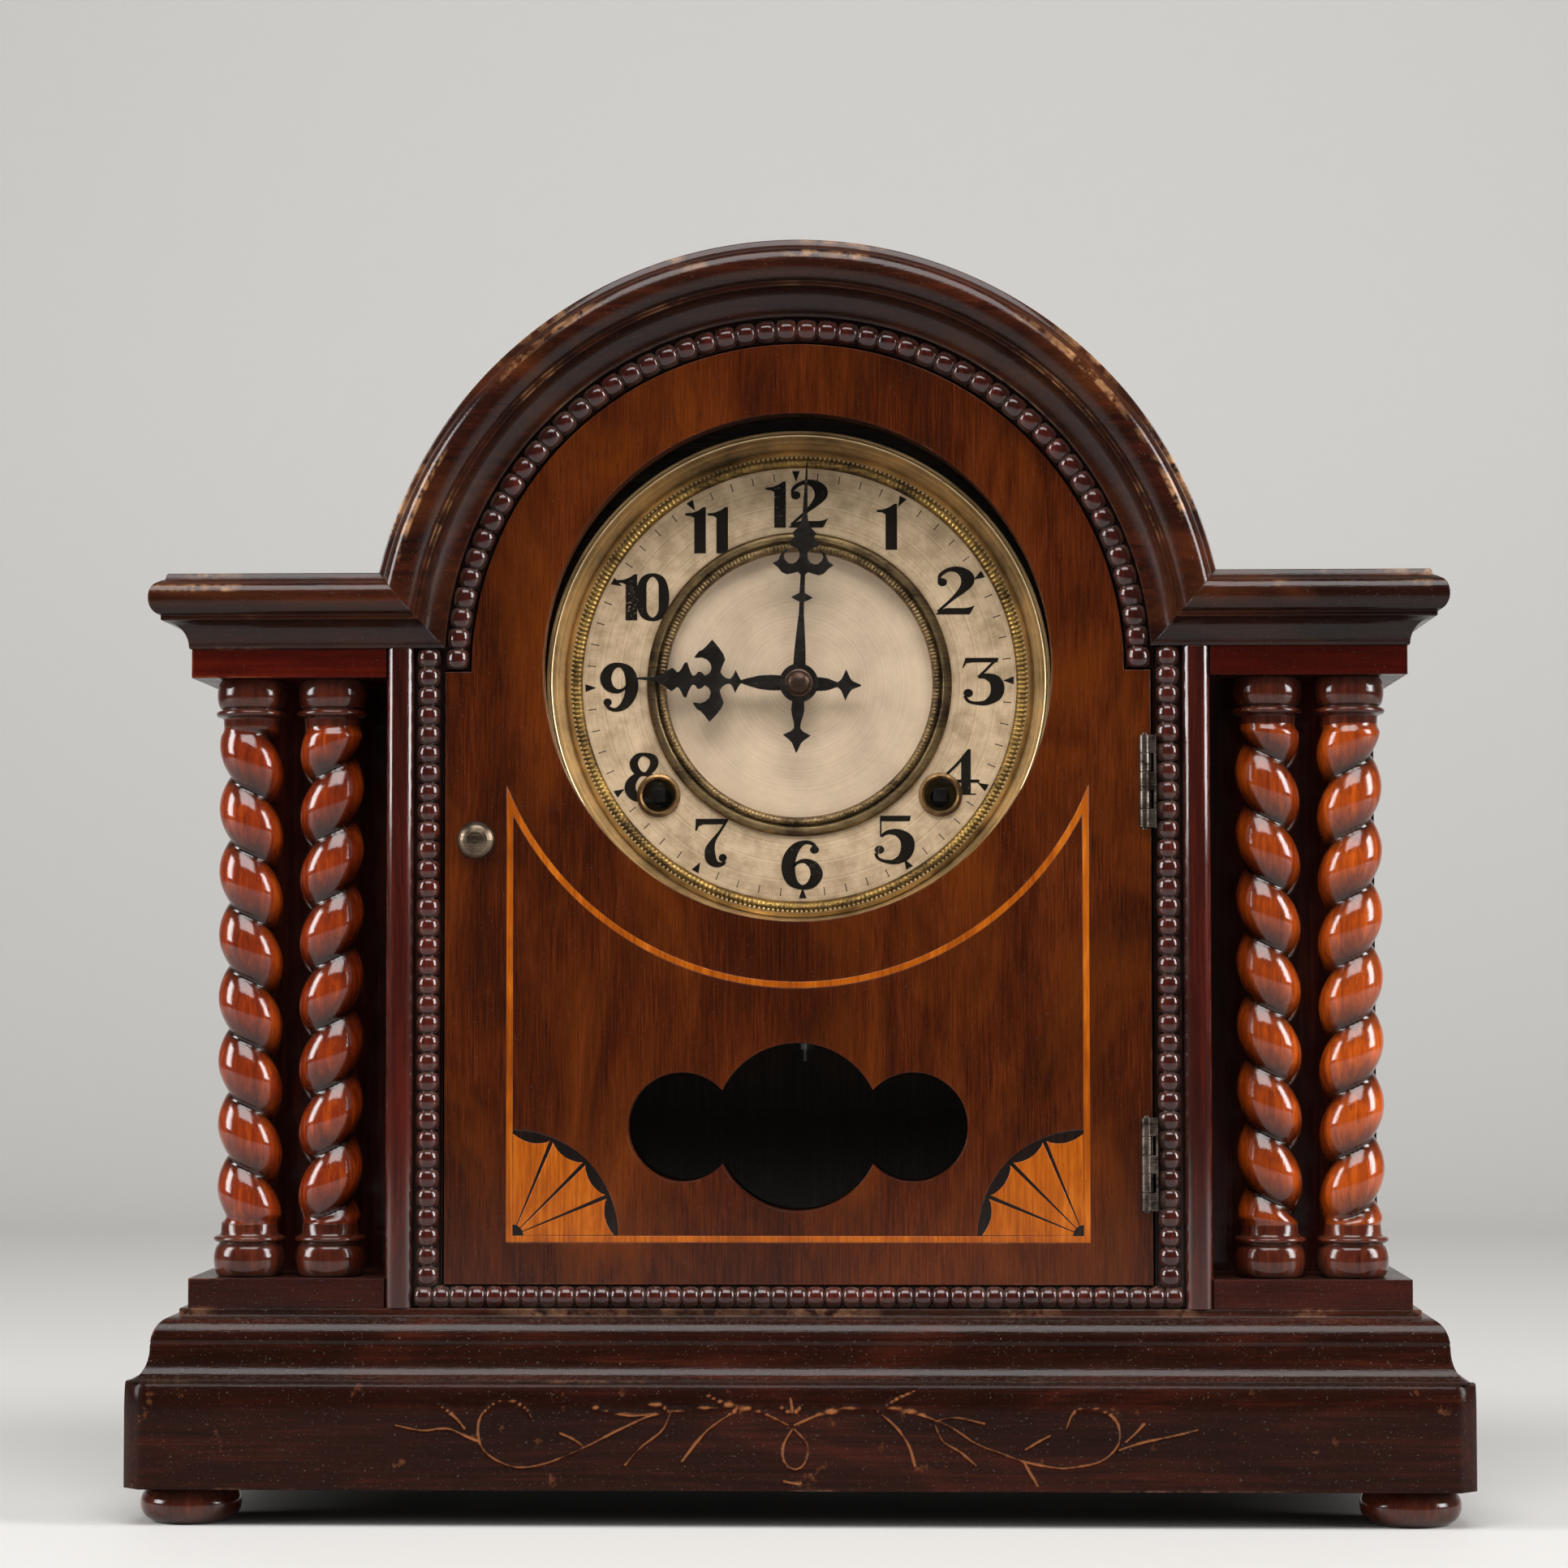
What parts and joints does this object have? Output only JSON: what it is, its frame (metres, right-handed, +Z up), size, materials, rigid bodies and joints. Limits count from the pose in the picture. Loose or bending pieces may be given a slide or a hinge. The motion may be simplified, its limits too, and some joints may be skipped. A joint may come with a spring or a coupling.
{
  "type": "mantel clock",
  "caption": "Arched-top wooden mantel clock with twist-turned columns, hinged inlaid door, silvered dial, striking pendulum movement and pendulum window.",
  "frame": {"origin": "middle of the base box's outline on the plane the bun feet stand on", "axes": "+Z up, the dial and door face -Y, +X to the right seen from the front"},
  "size_m": [0.41, 0.165, 0.3933],
  "materials": {
    "dark_wood": "glossy shellac over dark stained hardwood",
    "block_wood": "glossy red-brown shellac",
    "door_wood": "glossy shellac over straight-grained walnut",
    "twist_wood": "glossy amber shellac",
    "inlay_wood": "glossy, satinwood inlay",
    "silvered": "silvered brass, aged",
    "brass": "polished, toned with age",
    "movement_brass": "brushed",
    "steel": "brushed",
    "blackened": "blued black steel",
    "hinge_metal": "dulled brass-plated steel",
    "glass": "clear"
  },
  "bodies": {
    "case": {"base_front_board": "dark_wood", "base_side_boards": "dark_wood", "base_floor": "dark_wood", "base_deck": "dark_wood", "base_moulding": "dark_wood", "feet": "twist_wood", "plinth_blocks": "block_wood", "column_left_outer": "twist_wood", "column_left_inner": "twist_wood", "column_right_inner": "twist_wood", "column_right_outer": "twist_wood", "frieze_blocks": "block_wood", "wing_cornices": "dark_wood", "arch_cornice": "dark_wood", "wing_panels": "dark_wood", "front_frame": "dark_wood", "case_sides": "dark_wood", "stile_strips": "dark_wood", "bead_strips": "dark_wood", "arch_bead_strip": "dark_wood", "arch_roof": "dark_wood", "back_board": "dark_wood", "inner_boards": "dark_wood", "hinge_frame_leaves": "hinge_metal", "hinge_pins": "hinge_metal", "dial_plate": "silvered", "chapter_ring": "silvered", "dial_bezel": "brass", "inner_bezel": "brass", "winding_collars": "brass", "movement_frame": "movement_brass", "mainsprings": "steel", "gong": "steel", "gong_block": "steel"},
    "door": {"door_panel": "door_wood", "door_stringing": "inlay_wood", "corner_fans": "inlay_wood", "dial_glass": "glass", "window_glass": "glass", "hinge_door_leaves": "hinge_metal"},
    "latch": {"latch_knob": "hinge_metal"},
    "minute": {"centre_wheel": "movement_brass", "minute_hand": "blackened", "hand_nut": "brass"},
    "hour": {"hour_wheel": "movement_brass", "hour_hand": "blackened"},
    "motion_wheel": {"minute_wheel": "movement_brass"},
    "second": {"second_wheel": "movement_brass"},
    "third": {"third_wheel": "movement_brass"},
    "escape": {"escape_wheel": "movement_brass"},
    "anchor": {"pallets": "steel"},
    "pendulum": {"pendulum_rod": "steel", "pendulum_bob": "brass"},
    "time_great": {"time_great_wheel": "movement_brass"},
    "strike_great": {"strike_great_wheel": "movement_brass"},
    "time_winder": {"time_winding_arbor": "steel"},
    "strike_winder": {"strike_winding_arbor": "steel"},
    "strike_second": {"strike_second_wheel": "movement_brass"},
    "fly": {"fly": "movement_brass"},
    "hammer": {"strike_hammer": "steel"}
  },
  "joints": [
    {"name": "door_hinge", "type": "hinge", "parent": "case", "child": "door", "pos_m": [0.1067, -0.06775, 0.1675], "axis": [0, 0, 1], "range_deg": [0, 115]},
    {"name": "latch_turn", "type": "hinge", "parent": "door", "child": "latch", "pos_m": [-0.099, -0.06, 0.2085], "axis": [0, 1, 0], "range_deg": [0, 90]},
    {"name": "time_great_turn", "type": "hinge", "parent": "case", "child": "time_great", "pos_m": [0.0443, 0, 0.2235], "axis": [0, 1, 0], "continuous": true},
    {"name": "minute_turn", "type": "hinge", "parent": "case", "child": "minute", "pos_m": [0, -0.02, 0.2584], "axis": [0, 1, 0], "continuous": true},
    {"name": "hour_turn", "type": "hinge", "parent": "case", "child": "hour", "pos_m": [0, -0.034, 0.2584], "axis": [0, 1, 0], "continuous": true},
    {"name": "motion_wheel_turn", "type": "hinge", "parent": "case", "child": "motion_wheel", "pos_m": [0, -0.022, 0.2404], "axis": [0, 1, 0], "continuous": true},
    {"name": "second_turn", "type": "hinge", "parent": "case", "child": "second", "pos_m": [0.02508, 0, 0.26084], "axis": [0, 1, 0], "continuous": true},
    {"name": "third_turn", "type": "hinge", "parent": "case", "child": "third", "pos_m": [-0.0128, 0, 0.28057], "axis": [0, 1, 0], "continuous": true},
    {"name": "escape_turn", "type": "hinge", "parent": "case", "child": "escape", "pos_m": [0, 0, 0.29895], "axis": [0, 1, 0], "continuous": true},
    {"name": "pendulum_swing", "type": "hinge", "parent": "case", "child": "pendulum", "pos_m": [0, 0.0227, 0.31845], "axis": [0, 1, 0], "range_deg": [-3, 3]},
    {"name": "anchor_rock", "type": "hinge", "parent": "case", "child": "anchor", "pos_m": [0, 0, 0.31845], "axis": [0, 1, 0], "range_deg": [-3, 3]},
    {"name": "strike_great_turn", "type": "hinge", "parent": "case", "child": "strike_great", "pos_m": [-0.0443, 0, 0.2235], "axis": [0, 1, 0], "continuous": true},
    {"name": "strike_second_turn", "type": "hinge", "parent": "case", "child": "strike_second", "pos_m": [-0.04796, 0, 0.26534], "axis": [0, 1, 0], "continuous": true},
    {"name": "fly_turn", "type": "hinge", "parent": "case", "child": "fly", "pos_m": [-0.03536, 0, 0.28716], "axis": [0, 1, 0], "continuous": true},
    {"name": "time_winding", "type": "hinge", "parent": "case", "child": "time_winder", "pos_m": [0.0443, -0.01, 0.2235], "axis": [0, 1, 0], "continuous": true},
    {"name": "strike_winding", "type": "hinge", "parent": "case", "child": "strike_winder", "pos_m": [-0.0443, -0.01, 0.2235], "axis": [0, 1, 0], "continuous": true},
    {"name": "hammer_swing", "type": "hinge", "parent": "case", "child": "hammer", "pos_m": [-0.056, 0.037, 0.2614], "axis": [0, 1, 0], "range_deg": [0, 12]}
  ],
  "couplings": [
    {"joint": "time_great_turn", "follows": "minute_turn", "ratio": 0.027778},
    {"joint": "second_turn", "follows": "minute_turn", "ratio": -0.16667},
    {"joint": "third_turn", "follows": "minute_turn", "ratio": -7},
    {"joint": "escape_turn", "follows": "minute_turn", "ratio": 49},
    {"joint": "motion_wheel_turn", "follows": "minute_turn", "ratio": -0.33333},
    {"joint": "hour_turn", "follows": "minute_turn", "ratio": 0.083333},
    {"joint": "anchor_rock", "follows": "pendulum_swing", "ratio": 1},
    {"joint": "strike_second_turn", "follows": "strike_great_turn", "ratio": -6},
    {"joint": "fly_turn", "follows": "strike_great_turn", "ratio": 36}
  ]
}
